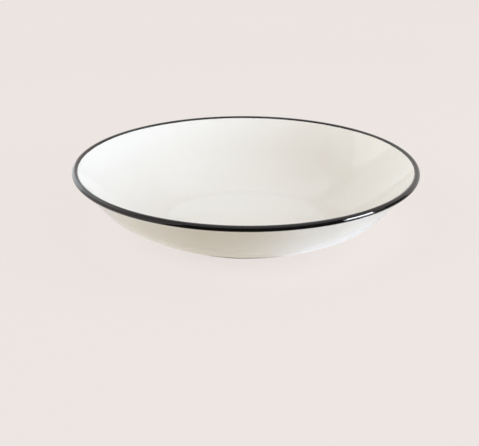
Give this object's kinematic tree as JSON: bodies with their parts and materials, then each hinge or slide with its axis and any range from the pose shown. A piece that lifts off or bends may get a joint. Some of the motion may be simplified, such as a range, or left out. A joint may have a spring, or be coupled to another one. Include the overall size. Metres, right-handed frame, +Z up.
{
  "type": "deep plate",
  "caption": "Round glazed deep plate with a flat well, a curved flaring wall, a rounded lip with a dark band and a bare foot ring underneath.",
  "frame": {"origin": "centre of the foot ring's standing face, on the table, under the middle of the plate", "axes": "+Z up along the plate's axis, out of the well; X and Y lie in the table, and any direction in it is alike"},
  "size_m": [0.22, 0.22, 0.0414],
  "materials": {
    "porcelain_body": "bare fired porcelain, matte, seen on the foot ring only",
    "inner_glaze": "gloss warm white glaze",
    "outer_glaze": "gloss warm white glaze",
    "base_glaze": "gloss warm white glaze",
    "rim_band": "gloss black glaze"
  },
  "bodies": {
    "root": {"porcelain_body": "porcelain_body", "inner_glaze": "inner_glaze", "outer_glaze": "outer_glaze", "base_glaze": "base_glaze", "rim_band": "rim_band"}
  },
  "joints": []
}
